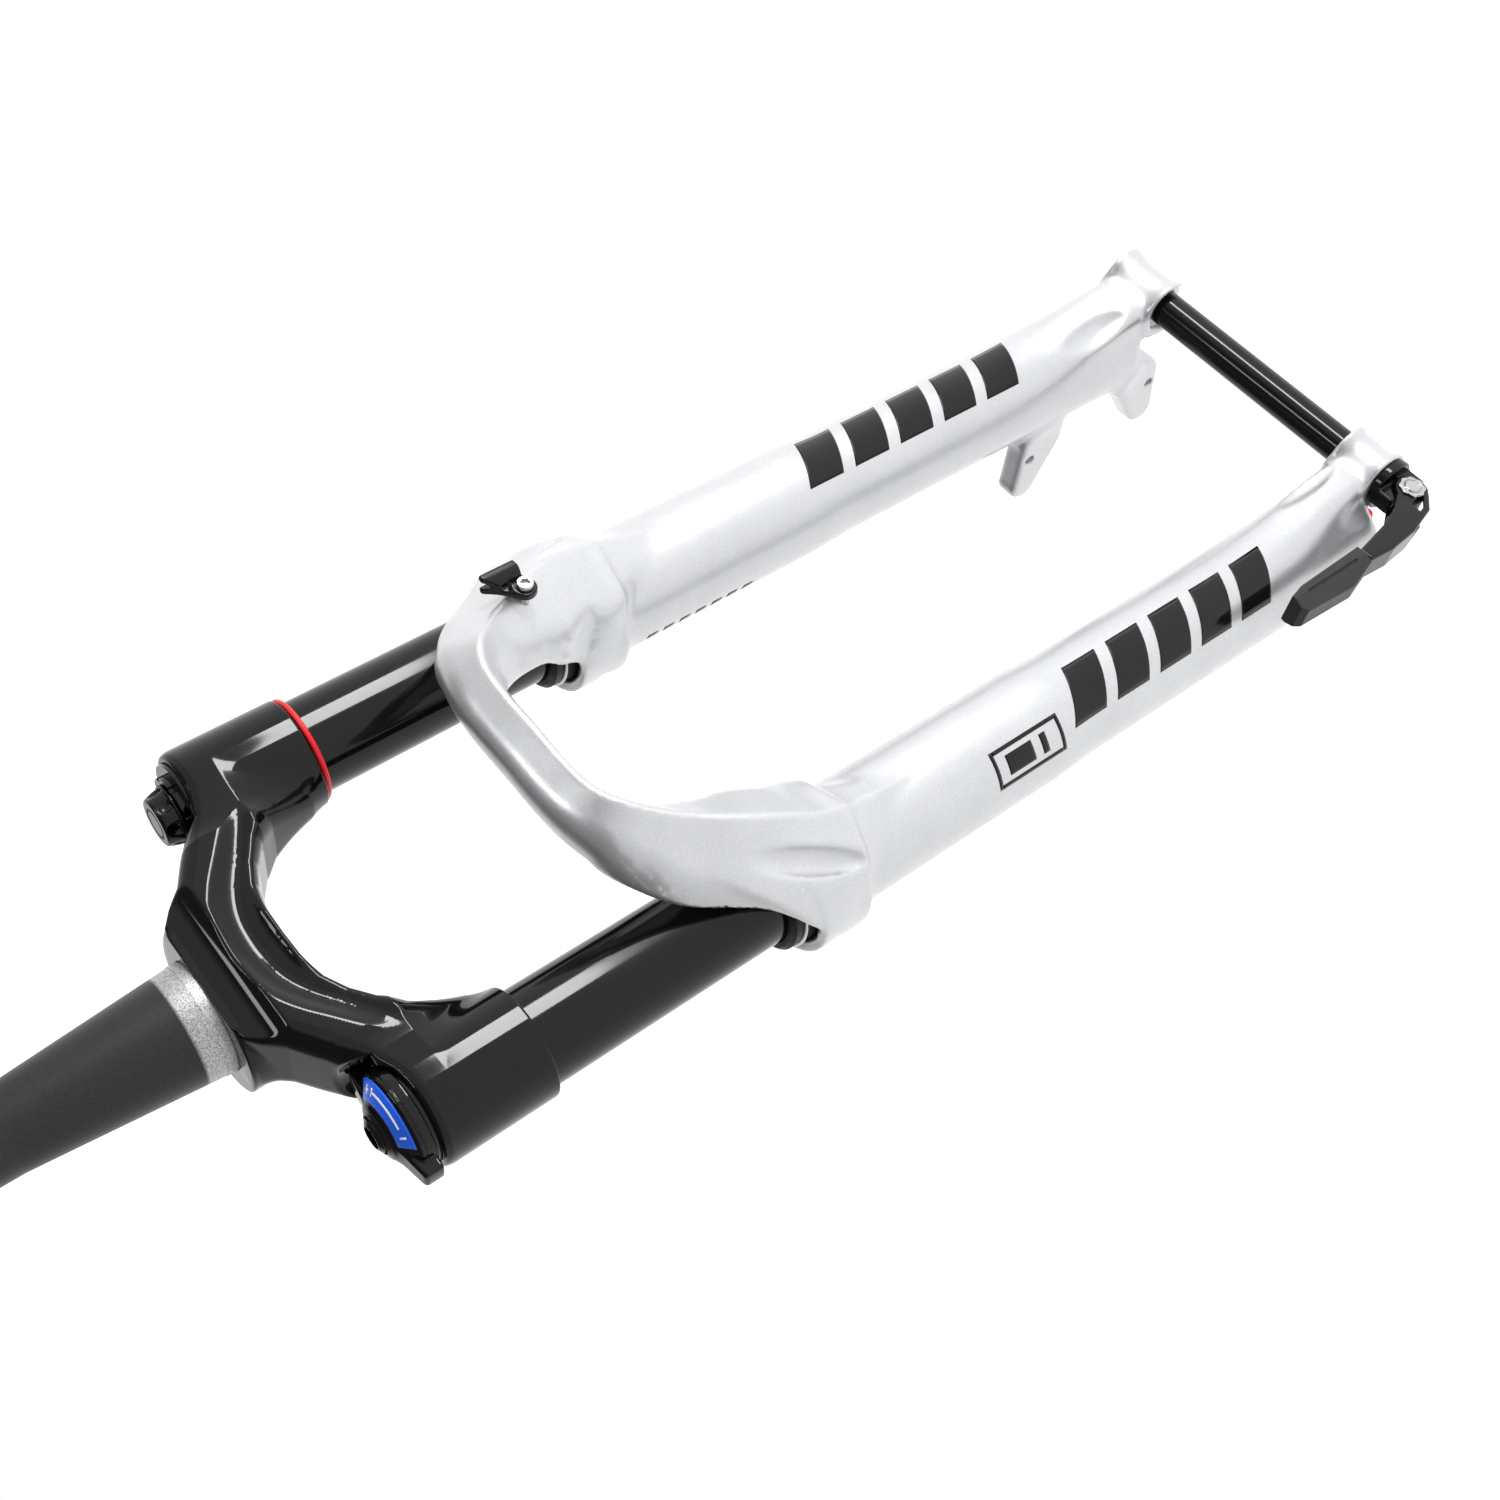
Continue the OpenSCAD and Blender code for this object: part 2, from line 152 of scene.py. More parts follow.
class Sweep:
    """Coordinates about a curve: forward and outward from it, past its end, and the extra values."""

    def __init__(self, keys, forward, n=90):
        R = spline(keys, n)
        self.C = R[:, :3].astype(F)
        self.E = R[:, 3:].astype(F)
        T = np.gradient(self.C, axis=0)
        T /= np.linalg.norm(T, axis=1)[:, None]
        B = np.cross(np.broadcast_to(np.array(forward, F), T.shape), T)
        B /= np.linalg.norm(B, axis=1)[:, None]
        self.T, self.B, self.N = T, B, np.cross(T, B)

    def at(self, P):
        C, n = self.C, len(self.C)
        i = np.clip(((C * C).sum(1)[None] - 2 * P @ C.T).argmin(1), 1, n - 2)
        q = P - C[i]
        t = (q * self.T[i]).sum(1) / np.linalg.norm(C[i + 1] - C[i - 1], axis=1) * 2
        t = np.clip(t, -1, 1)
        j = np.where(t > 0, i + 1, i - 1)
        w = np.abs(t)[:, None]

        def mix(A):
            return A[i] * (1 - w) + A[j] * w

        q = P - mix(C)
        over = np.where(i > n - 5, (P - C[-1]) @ self.T[-1], -30.0).astype(F)
        return (q * mix(self.N)).sum(1), (q * mix(self.B)).sum(1), over, mix(self.E)


# ---------------------------------------------------------------- meshes from fields

def in_batches(fn, P, size=60000):
    parts = [P[s:s + size] for s in range(0, len(P), size)]
    with ThreadPoolExecutor(4) as pool:
        return np.concatenate(list(pool.map(fn, parts)))


def onto(field, V, h, steps=3, offset=0.0):
    """Move points onto the field's surface, and give the unit normals there."""
    e = F(max(0.15 * h, 0.05))
    E = np.eye(3, dtype=F) * e

    def value_and_slope(A):
        G = np.stack([field(A + E[k]) - field(A - E[k]) for k in range(3)], 1) / (2 * e)
        return np.concatenate([field(A)[:, None] - offset, G], 1)

    V = V.astype(F)
    for _ in range(steps):
        R = in_batches(value_and_slope, V)
        s = R[:, 0] / np.maximum((R[:, 1:] ** 2).sum(1), 0.2)
        V = V - np.clip(s, -0.7 * h, 0.7 * h)[:, None] * R[:, 1:]
    G = in_batches(value_and_slope, V)[:, 1:]
    return V, G / (np.linalg.norm(G, axis=1)[:, None] + 1e-9)


def add_mesh(name, V, faces, normals=None):
    me = bpy.data.meshes.new(name)
    me.from_pydata((V / 1000).tolist(), [], faces)
    me.polygons.foreach_set("use_smooth", [True] * len(me.polygons))
    if normals is not None:
        me.normals_split_custom_set_from_vertices(normals.tolist())
    ob = bpy.data.objects.new(name, me)
    bpy.context.scene.collection.objects.link(ob)
    return ob


BLOCK = 16          # grid cells along a block's side
BLOCKS_AT_ONCE = 200


def field_mesh(name, field, lo, hi, h, soften=False):
    """Closed mesh of the field's surface inside the box lo..hi, on a grid of step h."""
    block = BLOCK
    lo = np.array(lo, float)
    n = np.ceil((np.array(hi) - lo) / (h * block)).astype(int)
    I = np.stack(np.meshgrid(*[np.arange(k) for k in n], indexing="ij"), -1).reshape(-1, 3)
    mid = (lo + (I + 0.5) * block * h).astype(F)
    d = in_batches(field, mid)
    reach = 0.87 * block * h + 3.5
    grid = vdb.FloatGrid(3 * h)
    for i, v in zip(I * block, d):
        if v < -reach:
            grid.fill(tuple(map(int, i)), tuple(map(int, i + block - 1)), -3 * h, False)
    step = np.arange(block)
    cell = np.stack(np.meshgrid(step, step, step, indexing="ij"), -1).reshape(-1, 3)
    near = I[np.abs(d) <= reach] * block
    for s in range(0, len(near), BLOCKS_AT_ONCE):
        part = near[s:s + BLOCKS_AT_ONCE]
        P = (lo + (part[:, None] + cell[None]).reshape(-1, 3) * h).astype(F)
        A = np.clip(in_batches(field, P), -3 * h, 3 * h).astype(F)
        for i, a in zip(part, A.reshape(-1, block, block, block)):
            grid.copyFromArray(a, ijk=tuple(map(int, i)))
    pts, quads = grid.convertToQuads(0.0)
    V, G = onto(field, lo + pts * h, h)
    V, quads, G = largest_piece(V, quads, G)
    if soften:
        G = soft_normals(quads, G)
    return add_mesh(name, V, quads.tolist(), G)


def soft_normals(quads, G):
    """Average each normal with those of the faces about it."""
    around = np.zeros_like(G)
    face = G[quads].mean(1)
    for k in range(4):
        np.add.at(around, quads[:, k], face)
    G = G + around
    return G / np.linalg.norm(G, axis=1)[:, None]


def largest_piece(V, quads, G):
    """Drop specks that aren't joined to the largest shell."""
    label = np.arange(len(V))
    while True:
        low = label[quads].min(1)
        new = label.copy()
        np.minimum.at(new, quads.ravel(), np.repeat(low, 4))
        new = new[new]
        if (new == label).all():
            break
        label = new
    names, count = np.unique(label, return_counts=True)
    keep = np.isin(label, names[count > 0.02 * count.max()])
    index = np.cumsum(keep) - 1
    q = quads[keep[quads[:, 0]]]
    return V[keep], index[q], G[keep]


# ---------------------------------------------------------------- lower casting

# Crest of the arch from its middle down the front of the left leg: place, angles of the
# outer and inner faces, width outward and inward, depth to the rear, slope of the outer wall
CREST = [[-16, -63, -124.5, 34, 58, 13.5, 7, 25, 0.3], [0, -63, -124.5, 34, 58, 13.5, 7, 25, 0.3],
         [16, -62.6, -124.6, 34, 58, 13.5, 7, 25, 0.3], [29, -62.8, -125.8, 34, 57, 13.5, 7.5, 25, 0.25],
         [38.7, -62.6, -130.3, 36, 54, 15, 9.5, 25, 0.15], [47.4, -59, -140, 37, 48, 18, 12, 25, 0.05],
         [54.6, -55.3, -151.5, 38, 40, 21.5, 16, 25.5, 0], [62.3, -52, -166, 38, 32, 22, 21.5, 31, 0],
         [68.4, -47, -182, 38, 26, 22, 22, 31, 0], [71.2, -40.5, -197, 38, 25, 20.5, 25.5, 32, 0],
         [71.4, -35, -215, 38, 25, 9, 14, 22, 0], [70, -29.6, -236, 38, 25, 5, 8, 14, 0]]
crest = Sweep(CREST, (0, -1, 0))

# long shallow dimple on the outer face of each shoulder: its length, depth and width directions
DIMPLE = [[0.30, 0.80, -0.52], [0.37, -0.60, -0.71], [-0.88, 0.02, -0.476]]


def arch_field(Q):
    """Arch and shoulders on the +X side: two faces that meet in the crest, with walls behind."""
    f, o, over, E = crest.at(Q)
    a1, a0 = np.radians(E[:, 0]), np.radians(E[:, 1])
    outer_face = np.cos(a1) * f + np.sin(a1) * o
    inner_face = np.cos(a0) * f - np.sin(a0) * o
    d = smax(outer_face, inner_face, 1.8)
    d = smax(d, o - E[:, 2] + E[:, 5] * (-f - 12), 8.0)
    d = smax(d, -o - E[:, 3], 6.0)
    d = smax(d, -f - E[:, 4], 5.0)
    return smax(d, over, 5.0)


def leg_field(Q):
    """Plain leg with its wiper boss."""
    z = Q[:, 2]
    r = 21.3 + 1.0 * ease((z + 322) / 24)
    d = cyl_z(Q, XL, YL, r, LEG_END, -200, 9.0)
    rb = np.interp(z, [-208, -205, -196, -188, SEAT], [20.5, 22.0, 25.6, 26.8, 27.0]).astype(F)
    boss = cyl_z(Q, XL, YL, rb, -207, SEAT, 1.5)
    # the boss rises into the shoulder at the front
    lip = cyl_z(Q, XL, YL, 27.0, -200, -150, 2.0)
    lip = smax(lip, (z + 179.5 + 0.84 * (Q[:, 1] + 12)) / 1.306, 2.5)
    return smin(d, smin(boss, lip, 2.0), 2.5)


def blend(a, b, t):
    return a + (b - a) * t


DROP_TOP = -402.0              # where a dropout starts to leave the leg's round section
DROP_IN = 51.2                 # inner end of the barrel about the axle
WEB_R = 17.5                   # radius of the dropout's section at its top


def drop_field(Q, end, pocket):
    """Dropout on the +X side: the leg's round section turns into a block about the barrel."""
    x, y, z = Q[:, 0], Q[:, 1], Q[:, 2]
    w = np.clip(np.abs(2 * x - DROP_IN - end) / (end - DROP_IN), 0, 1)
    barrel = cyl_x(Q, YA, ZA, 10.6 + 2.7 * w**3, DROP_IN, end - 0.2, 2.0)
    t = np.clip((DROP_TOP - z) / 92, 0, 1)
    t = 0.6 * t + 0.4 * ease(t)
    corner = blend(WEB_R, 6.0, t)
    px = np.abs(x - blend(XL, (51.4 + end) / 2, t)) - (blend(WEB_R, (end - 52.8) / 2, t) - corner)
    py = np.abs(y - blend(YL, -28.6, t)) - (blend(WEB_R, 11.4, t) - corner)
    web = np.hypot(np.maximum(px, 0), np.maximum(py, 0)) + np.minimum(np.maximum(px, py), 0) - corner
    web = smax(smax(web, z - DROP_TOP, 3.0), -504.5 - z, 6.0)
    web = smax(web, -ellipsoid(Q, *pocket, turn_x(-14)), 1.2)
    outer = ellipsoid(Q, (86.5, -43, -462), (12.5, 11, 34), turn_x(-14))
    return smin(barrel, smax(web, -outer, 2.0), 4.0)


POST = math.radians(8.5)
POST_Y = np.array([0, math.cos(POST), -math.sin(POST)], F)
POST_Z = np.array([0, math.sin(POST), math.cos(POST)], F)
POST_0 = np.array([54.0, 0, -500.4], F)
POST_GAP, POST_END = 74.0, 34.4


def posts_field(P):
    """Two fins with round tips that carry the brake."""
    q = P - POST_0
    u, v = q @ POST_Y, q @ POST_Z
    flat = np.stack([0 * u, u, v], 1)
    d = None
    for k, lift in ((0.0, 7.0), (POST_GAP, -7.0)):
        fin = cone_seg(flat, (0, 4, k + lift), (0, POST_END - 7.2, k), 12.0, 7.0)
        d = fin if d is None else np.minimum(d, fin)
    return smax(d, np.abs(q[:, 0] - 1.0) - 5.6, 3.0)


def casting(P):
    """Lower legs, arch, dropouts and brake posts, with their holes and hollows."""
    Q = P.copy()
    Q[:, 0] = np.abs(P[:, 0])
    z = P[:, 2]
    d = smin(arch_field(Q), leg_field(Q), np.interp(z, [-222, -200], [2, 8]).astype(F))
    d = smax(d, -ellipsoid(Q, (80.9, -40.0, -175.6), (30, 5.6, 6.0), DIMPLE), 0.8)
    low = z < -380
    if low.any():
        Pl, Ql = P[low], Q[low]
        left = Pl[:, 0] > 0
        far_drop = drop_field(Ql, 80.0, ((56.5, -39, -458), (8.5, 9.5, 22)))
        near_drop = drop_field(Ql, 72.0, ((55.0, -41, -466), (7.0, 9.0, 23)))
        drop = np.where(left, far_drop, near_drop)
        dl = smin(d[low], drop, 5.0)
        dl = smin(dl, posts_field(Pl), 7.0)
        holes = None
        for k in (0.0, POST_GAP):
            q = Pl - POST_0 - k * POST_Z
            u = q @ POST_Y
            bore = smax(np.linalg.norm(q - u[:, None] * POST_Y, axis=1) - 2.7, 12 - u, 0.3)
            c = POST_0 + k * POST_Z + 9 * POST_Y
            pin = cyl_x(Pl, c[1], c[2], 2.3, 40, 52.5, 0.3)
            bore = np.minimum(bore, pin)
            holes = bore if holes is None else np.minimum(holes, bore)
        d[low] = smax(dl, -holes, 0.8)
        pocket = cyl_x(Ql, YA, ZA, 10.4, 30, 55, 0.5)
        slot = box(Ql, (45, YA, ZA - 15), (10, 10.4, 15), 0.5)
        lug = cyl_x(Ql, YA + 14.5, ZA + 8.5, 2.8, 40, 55, 0.4)
        d[low] = smax(d[low], -np.minimum(np.minimum(pocket, slot), lug), 1.0)
        d[low] = smax(d[low], -cyl_x(Ql, YA, ZA, 7.6, 30, 90, 0.3), 0.6)
        foot = cyl_z(Ql, XL, YL, 9.6, -520, LEG_END + 5, 0.5)
        d[low] = smax(d[low], -foot, 0.8)
    # hollow legs
    d = np.maximum(d, -cyl_z(Q, XL, YL, 18.6, -470, -180, 0.5))
    # seats of the wipers, and room for the stanchions behind the arch
    top = z > -195
    if top.any():
        Qt = Q[top]
        seat = cyl_z(Qt, XL, YL, 22.6, -189.0, -100, 0.5)
        room = np.minimum(seat, cyl_z(Qt, XL, YL, 24.2, SEAT, -100, 1.0))
        d[top] = smax(d[top], -room, 1.4)
    return d


# ---------------------------------------------------------------- crown

ARM = [[-1, -0.6], [24, -1.4], [29, -5.5], [34, -11], [42, -16.5], [50, -22.5], [58, -28], [66, -31.6],
       [69, -31.6], [69, -60], [55, -72], [47.5, -66], [44, -57.5], [40.5, -49.5], [35, -42.5], [28, -37],
       [20, -33], [10, -30.8], [-1, -30.2]]
CHANNEL = [[-12, -34.4, -21.6, 11.6], [0, -34.6, -20.8, 12.0], [12, -34.4, -22.0, 11.2],
           [22, -33.6, -26, 10.0], [33, -32.4, -33, 8.2], [44, -32.6, -40, 7.2],
           [54, -32.4, -45.5, 5.5], [62, -35, -48, 4]]


channel = Sweep(CHANNEL, (0, -1, 0))


def crown(P):
    """Crown: hub, arms with a channel along their front, and the collars of the stanchions."""
    Q = P.copy()
    Q[:, 0] = np.abs(P[:, 0])
    x, y, z = Q[:, 0], Q[:, 1], Q[:, 2]
    arm = outline(x, z, ARM)
    low = np.maximum(-44 - z, 0)
    arm = smax(arm, -26.6 - y + 0.34 * np.maximum(x - 44, 0) + 0.55 * low, 8.0)
    arm = smax(arm, y - 9.0 + 0.08 * np.maximum(x - 20, 0) + 0.3 * low, 7.0)
    hub = cyl_z(Q, 0, 0, 28.6, -29.0, -0.3, 1.6)
    collar = smax(cyl_z(Q, XL, YL, 20.2, -74.4, -31.0, 0.9), z + 31.0, 5.0)
    d = smin(hub, arm, 3.0)
    # scooped front of the hub, above the ridge
    d = smax(d, -cyl_x(Q, -37.0, -1.5, 16.0, -60, 60, 1.0), 1.0)
    f, o, over, E = channel.at(Q)
    d = smax(d, E[:, 0] - np.hypot(np.hypot(f, o), np.maximum(over, 0)), 1.6)
    d = smin(d, collar, 11.0)
    d = smax(d, z + 0.3, 0.8)
    # recesses of the dial and the air cap, and the bores
    recess = np.minimum(cyl_z(Q, XL, YL, 19.0, -31.0, 20, 0.4), cyl_z(Q, XL, YL, 23.0, -28.8, 20, 0.4))
    d = smax(d, -recess, 1.2)
    bores = np.minimum(cyl_z(Q, XL, YL, 17.48, -80, -33.2, 0.2), cyl_z(Q, XL, YL, 17.2, -34, 20, 0.2))
    return smax(d, -np.minimum(bores, cyl_z(Q, 0, 0, 19.6, -60, 20, 0.2)), 0.4)


# ---------------------------------------------------------------- dials and caps

def about(P, x, y, z=0.0):
    return P - np.array([x, y, z], F)


# the dial's sloping shoulder, which the label lies on: a radius, the height there, and the fall
SHOULDER_R, SHOULDER_Z, SHOULDER_FALL = 10.5, 9.2, 0.56


def dial(P):
    """Compression dial: skirt, raised bar with a wing at each end, and a round hub."""
    q = about(P, -XL, YL, KNOB_Z)
    r = np.hypot(q[:, 0], q[:, 1])
    x, y, z = np.abs(q[:, 0]), q[:, 1], q[:, 2]
    slope = (z - SHOULDER_Z + SHOULDER_FALL * (r - SHOULDER_R)) / 1.146
    skirt = smax(smax(r - 18.2, slope, 0.8), -z, 0.6)
    step = smax(np.abs(z - 3.4) - 0.25, 18.0 - r, 0.1)
    skirt = smax(skirt, -step, 0.2)
    bar = smax(np.abs(y) - 5.2 + 0.06 * x, r - 22.2, 1.2)
    bar = smax(bar, z - 9.5 + 0.16 * np.maximum(x - 8, 0), 1.6)
    bar = smax(bar, 0.6 - z, 0.8)
    d = smin(skirt, bar, 1.0)
    d = smin(d, smax(smax(r - 9.2, z - 9.9, 1.2), -z, 0.5), 1.2)
    ring = smax(np.abs(r - 6.4) - 0.3, 9.6 - z, 0.1)
    d = smax(d, -ring, 0.2)
    return smax(d, -smax(r - 3.9, 8.0 - z, 0.2), 0.5)


def cap(P):
    """Valve cap with oval hollows all round and a domed top."""
    q = about(P, XL, YL, -27.8)
    r = np.hypot(q[:, 0], q[:, 1])
    z = q[:, 2]
    d = smax(smax(r - 10.6, z - 6.9, 2.2), -z, 0.4)
    d = smax(d, r - 9.3 - 1.6 * np.clip((5.2 - z) / 5, -1, 1), 1.0)
    a = np.arctan2(q[:, 1], q[:, 0])
    a = (a + math.pi / 7) % (2 * math.pi / 7) - math.pi / 7
    s = np.stack([r * np.cos(a), r * np.sin(a), z], 1)
    d = smax(d, -ellipsoid(s, (13.0, 0, 3.6), (4.6, 3.4, 4.4)), 0.7)
    d = smin(d, smax(smax(r - 11.2, z - 0.9, 0.4), -z, 0.3), 0.5)
    groove = smax(np.abs(r - 5.4) - 0.35, 6.5 - z, 0.1)
    return smax(smax(d, -groove, 0.3), -smax(r - 4.3, z - 4.2, 0.2), 0.2)


def foot_dial(P):
    """Rebound dial with finger scallops."""
    q = about(P, -XL, YL, LEG_END)
    r = np.hypot(q[:, 0], q[:, 1])
    z = q[:, 2]
    a = np.arctan2(q[:, 1], q[:, 0])
    d = smax(smax(r - 6.5 - 0.5 * np.cos(6 * a), z + 5.1, 0.8), -13 - z, 1.2)
    neck = smax(smax(r - 5.4, z + 2.5, 0.4), -8 - z, 0.4)
    d = smin(d, neck, 0.6)
    return smax(d, -smax(r - 1.5, -12 - z, 0.2), 0.2)


# ---------------------------------------------------------------- hose guide

GUIDE_Y, GUIDE_X, GUIDE_Z = -55.5, 61.2, -152.3
SCREW_X, SCREW_Z = 53.2, -158.4


def guide(P):
    """Saddle that hooks over the hose, with a round ear for its screw."""
    x, y, z = P[:, 0], P[:, 1], P[:, 2]
    r = np.hypot(x - GUIDE_X, y - (GUIDE_Y - 3.2))
    hook = np.abs(r - 3.6) - 1.05
    hook = smax(hook, smax(x - GUIDE_X - 1.0, y - GUIDE_Y + 2.2, 0.3), 0.5)
    spine = box(P, (57.2, GUIDE_Y - 1.3, GUIDE_Z), (4.6, 1.3, 7.4), 1.0)
    ear = cyl_y(P, SCREW_X, SCREW_Z, 4.4, GUIDE_Y - 3.0, GUIDE_Y, 0.8)
    d = smin(hook, spine, 1.2)
    # the strap narrows to the ear and is waisted over the hose
    mid = np.interp(x, [53.2, 60.5], [SCREW_Z + 1.5, GUIDE_Z])
    half = np.interp(x, [53, 57, 60, 66], [3.8, 5.2, 7.3, 7.3])
    d = smax(d, np.abs(z - mid) - half, 1.0)
    d = smax(d, 7.0 - np.hypot(x - GUIDE_X - 10.0, z - GUIDE_Z), 0.8)
    d = smin(d, ear, 2.0)
    d = smax(d, y - GUIDE_Y - 0.6, 0.3)
    return smax(d, -cyl_y(P, SCREW_X, SCREW_Z, 1.75, -80, -40, 0.1), 0.4)


def guide_screw(P):
    """Screw head along Y with a six-pointed socket."""
    q = about(P, SCREW_X, GUIDE_Y - 5.2, SCREW_Z)
    r, a, y = np.hypot(q[:, 0], q[:, 2]), np.arctan2(q[:, 2], q[:, 0]), q[:, 1]
    d = smax(smax(r - 3.05, -y, 0.6), y - 2.2, 0.1)
    d = smin(d, smax(smax(r - 1.6, 1.0 - y, 0.2), y - 13.4, 0.4), 0.2)
    return smax(d, -smax(r - 1.55 * (1 + 0.16 * np.cos(6 * a)), y - 1.4, 0.1), 0.15)


# ---------------------------------------------------------------- axle head and lever

CHEEK, TONGUE = 6.2, 4.0


def head(P):
    """Round axle head with the tongue that carries the lever pin."""
    flange = cyl_x(P, YA, ZA, 11.3, -75.8, -72.25, 0.8)
    collar = cyl_x(P, YA, ZA, 10.6, -79.5, -72.25, 1.0)
    eye = cyl_y(P, PIVOT_X, ZA, 6.5, -60, 0, 0.2)
    body = smin(cyl_x(P, YA, ZA, 11.2, PIVOT_X, -73, 1.6), eye, 2.0)
    body = smax(body, np.abs(P[:, 1] - YA) - TONGUE + 0.05, 0.8)
    d = smin(flange, smax(collar, -(P[:, 0] + 75.9), 0.2), 0.3)
    return smax(smin(d, body, 0.8), -cyl_y(P, PIVOT_X, ZA, 3.0, -60, 0, 0.1), 0.3)


LEVER = [[-91.2, -500.2], [-88, -503.4], [-84, -504.7], [-80, -503.6], [-77.2, -500.6], [-76.3, -497],
         [-77.4, -493.4], [-81.8, -490], [-86.3, -482.8], [-90.4, -471.5], [-94.2, -451], [-100.5, -451],
         [-101.4, -464.5], [-100, -479.7], [-96, -494.5]]
GRIP = [[-92.8, -450.9], [-93.9, -415], [-95.6, -407.8], [-101.4, -407.0], [-103.7, -409.2], [-105.0, -437],
        [-101, -450.9]]


def lever(P):
    """Lever arm: two cheeks about the pin that join in one narrowing blade."""
    x, y, z = P[:, 0], P[:, 1] - YA, P[:, 2]
    side = outline(x, z, LEVER)
    d = smax(side, np.abs(y) - CHEEK, 1.6)
    inner = np.abs(y) - 2.2 - 0.12 * np.clip(-460 - z, 0, 30)
    groove = smax(smax(inner, side + 2.6, 0.6), x + 91.0 + 0.16 * (z + 480), 0.5)
    d = smax(d, -smax(groove, z + 458, 1.0), 0.8)
    slot = smax(np.abs(y) - TONGUE - 0.3, z + 482, 0.4)
    d = smax(d, -slot, 0.6)
    blade = box(P, (-97.3, YA, -434), (2.0, 3.4, 17), 0.6)
    d = smin(d, blade, 0.4)
    return smax(d, -cyl_y(P, PIVOT_X, ZA, 3.05, -60, 0, 0.1), 0.4)


def grip(P):
    """Grip moulded on the blade, creased along its outer face."""
    x, y, z = P[:, 0], P[:, 1] - YA, P[:, 2]
    d = smax(outline(x, z, GRIP), np.abs(y) - 6.9 + 0.35 * np.maximum(-97.5 - x, 0), 0.9)
    line = np.hypot(np.abs(y) - 6.6, (x + 97.5)) - 0.45
    d = smax(d, -smax(line, np.abs(z + 430) - 15, 0.3), 0.4)
    return smax(d, -box(P, (-97.3, YA, -438), (2.02, 3.42, 21.2), 0.6), 0.1)


def pin_nut(P):
    """Star-edged nut with a raised round centre."""
    q = about(P, PIVOT_X, YA - CHEEK, ZA)
    r, a, y = np.hypot(q[:, 0], q[:, 2]), np.arctan2(q[:, 2], q[:, 0]), q[:, 1]
    d = smax(smax(r - 5.35 - 0.3 * np.cos(8 * a), y - 0.02, 0.1), -0.9 - y, 0.3)
    dome = smax(smax(r - 3.1, y - 0.02, 0.1), -1.3 - y, 0.3)
    return smax(smin(d, dome, 0.2), -smax(np.abs(r - 3.6) - 0.25, y + 0.55, 0.1), 0.15)


# ---------------------------------------------------------------- materials

def material(name):
    m = bpy.data.materials.new(name)
    m.use_nodes = True
    nt = m.node_tree
    return m, nt, nt.nodes["Principled BSDF"]


def noise(nt, scale, detail=3.0, rough=0.6, stretch=(1, 1, 1)):
    co = nt.nodes.new("ShaderNodeTexCoord")
    place = nt.nodes.new("ShaderNodeMapping")
    place.inputs["Scale"].default_value = stretch
    n = nt.nodes.new("ShaderNodeTexNoise")
    n.inputs["Scale"].default_value = scale
    n.inputs["Detail"].default_value = detail
    n.inputs["Roughness"].default_value = rough
    nt.links.new(co.outputs["Object"], place.inputs["Vector"])
    nt.links.new(place.outputs["Vector"], n.inputs["Vector"])
    return n.outputs["Fac"]


def ramp(nt, src, lo, hi, start=0.3, end=0.7):
    r = nt.nodes.new("ShaderNodeMapRange")
    r.inputs["From Min"].default_value = start
    r.inputs["From Max"].default_value = end
    r.inputs["To Min"].default_value = lo
    r.inputs["To Max"].default_value = hi
    nt.links.new(src, r.inputs["Value"])
    return r.outputs["Result"]


def bump(nt, src, b, strength, distance):
    n = nt.nodes.new("ShaderNodeBump")
    n.inputs["Strength"].default_value = strength
    n.inputs["Distance"].default_value = distance
    nt.links.new(src, n.inputs["Height"])
    nt.links.new(n.outputs["Normal"], b.inputs["Normal"])


def mix(nt, src, c0, c1):
    """Colour that goes from c0 to c1; either may be another node's output."""
    r = nt.nodes.new("ShaderNodeMix")
    r.data_type = "RGBA"
    for i, c in ((6, c0), (7, c1)):
        if isinstance(c, tuple):
            r.inputs[i].default_value = (*c, 1)
        else:
            nt.links.new(c, r.inputs[i])
    nt.links.new(src, r.inputs[0])
    return r.outputs[2]


def finish_of(name, c, rough, metal=0.0, coat=0.0, coat_rough=0.05, grain=900, depth=0.00002, vary=0.12,
              stretch=(1, 1, 1), spots=0.0, ior=1.5):
    """A finish with fine grain, colour drift, faint handling marks and uneven roughness."""
    m, nt, b = material(name)
    b.inputs["Metallic"].default_value = metal
    b.inputs["Coat Weight"].default_value = coat
    b.inputs["Coat Roughness"].default_value = coat_rough
    b.inputs["IOR"].default_value = ior
    drift = noise(nt, 60, 4)
    fine = noise(nt, grain, 2, stretch=stretch)
    dark, light = tuple(v * (1 - vary) for v in c), tuple(min(1, v * (1 + vary)) for v in c)
    col = mix(nt, ramp(nt, drift, 0, 1), dark, light)
    if spots:
        col = mix(nt, ramp(nt, noise(nt, 2600, 1), 0, spots, 0.5, 0.75), col, (0.9, 0.9, 0.9))
    nt.links.new(col, b.inputs["Base Color"])
    marks = noise(nt, 140, 6, 0.75)
    nt.links.new(ramp(nt, marks, rough * 0.85, rough * 1.2), b.inputs["Roughness"])
    bump(nt, fine, b, 0.3, depth)
    return m


